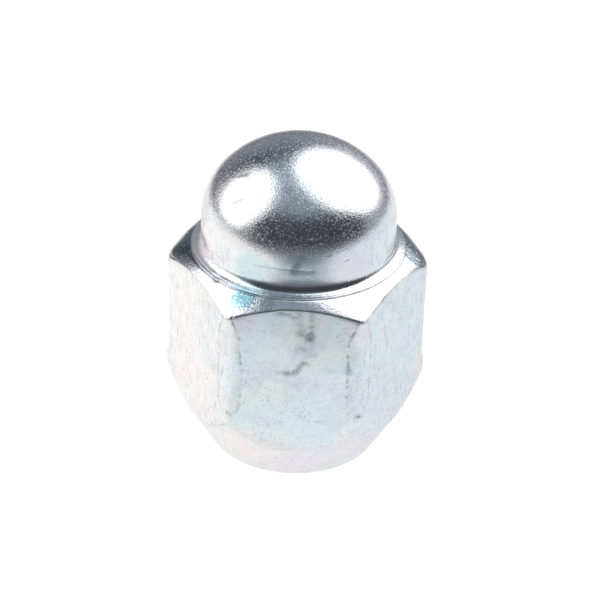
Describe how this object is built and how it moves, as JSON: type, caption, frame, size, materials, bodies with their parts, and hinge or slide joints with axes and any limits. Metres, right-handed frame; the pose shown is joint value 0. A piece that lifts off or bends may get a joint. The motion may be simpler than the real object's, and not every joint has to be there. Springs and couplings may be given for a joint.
{
  "type": "lug nut",
  "caption": "Closed-end wheel nut: hexagon with a flattened dome cap, a 60 degree conical seat at its open end and a blind threaded hole.",
  "frame": {"origin": "centre of the flat end face round the hole's mouth, on which the nut stands", "axes": "+Z along the thread's axis from the open end to the dome; two of the six flats face -Y and +Y, and two corners lie on the X axis"},
  "size_m": [0.0214, 0.019, 0.0276],
  "materials": {
    "bright_zinc": "bright zinc plate over cold-forged steel, satin on the dome and pale on the flats"
  },
  "bodies": {
    "root": {"lug_nut": "bright_zinc"}
  },
  "joints": []
}
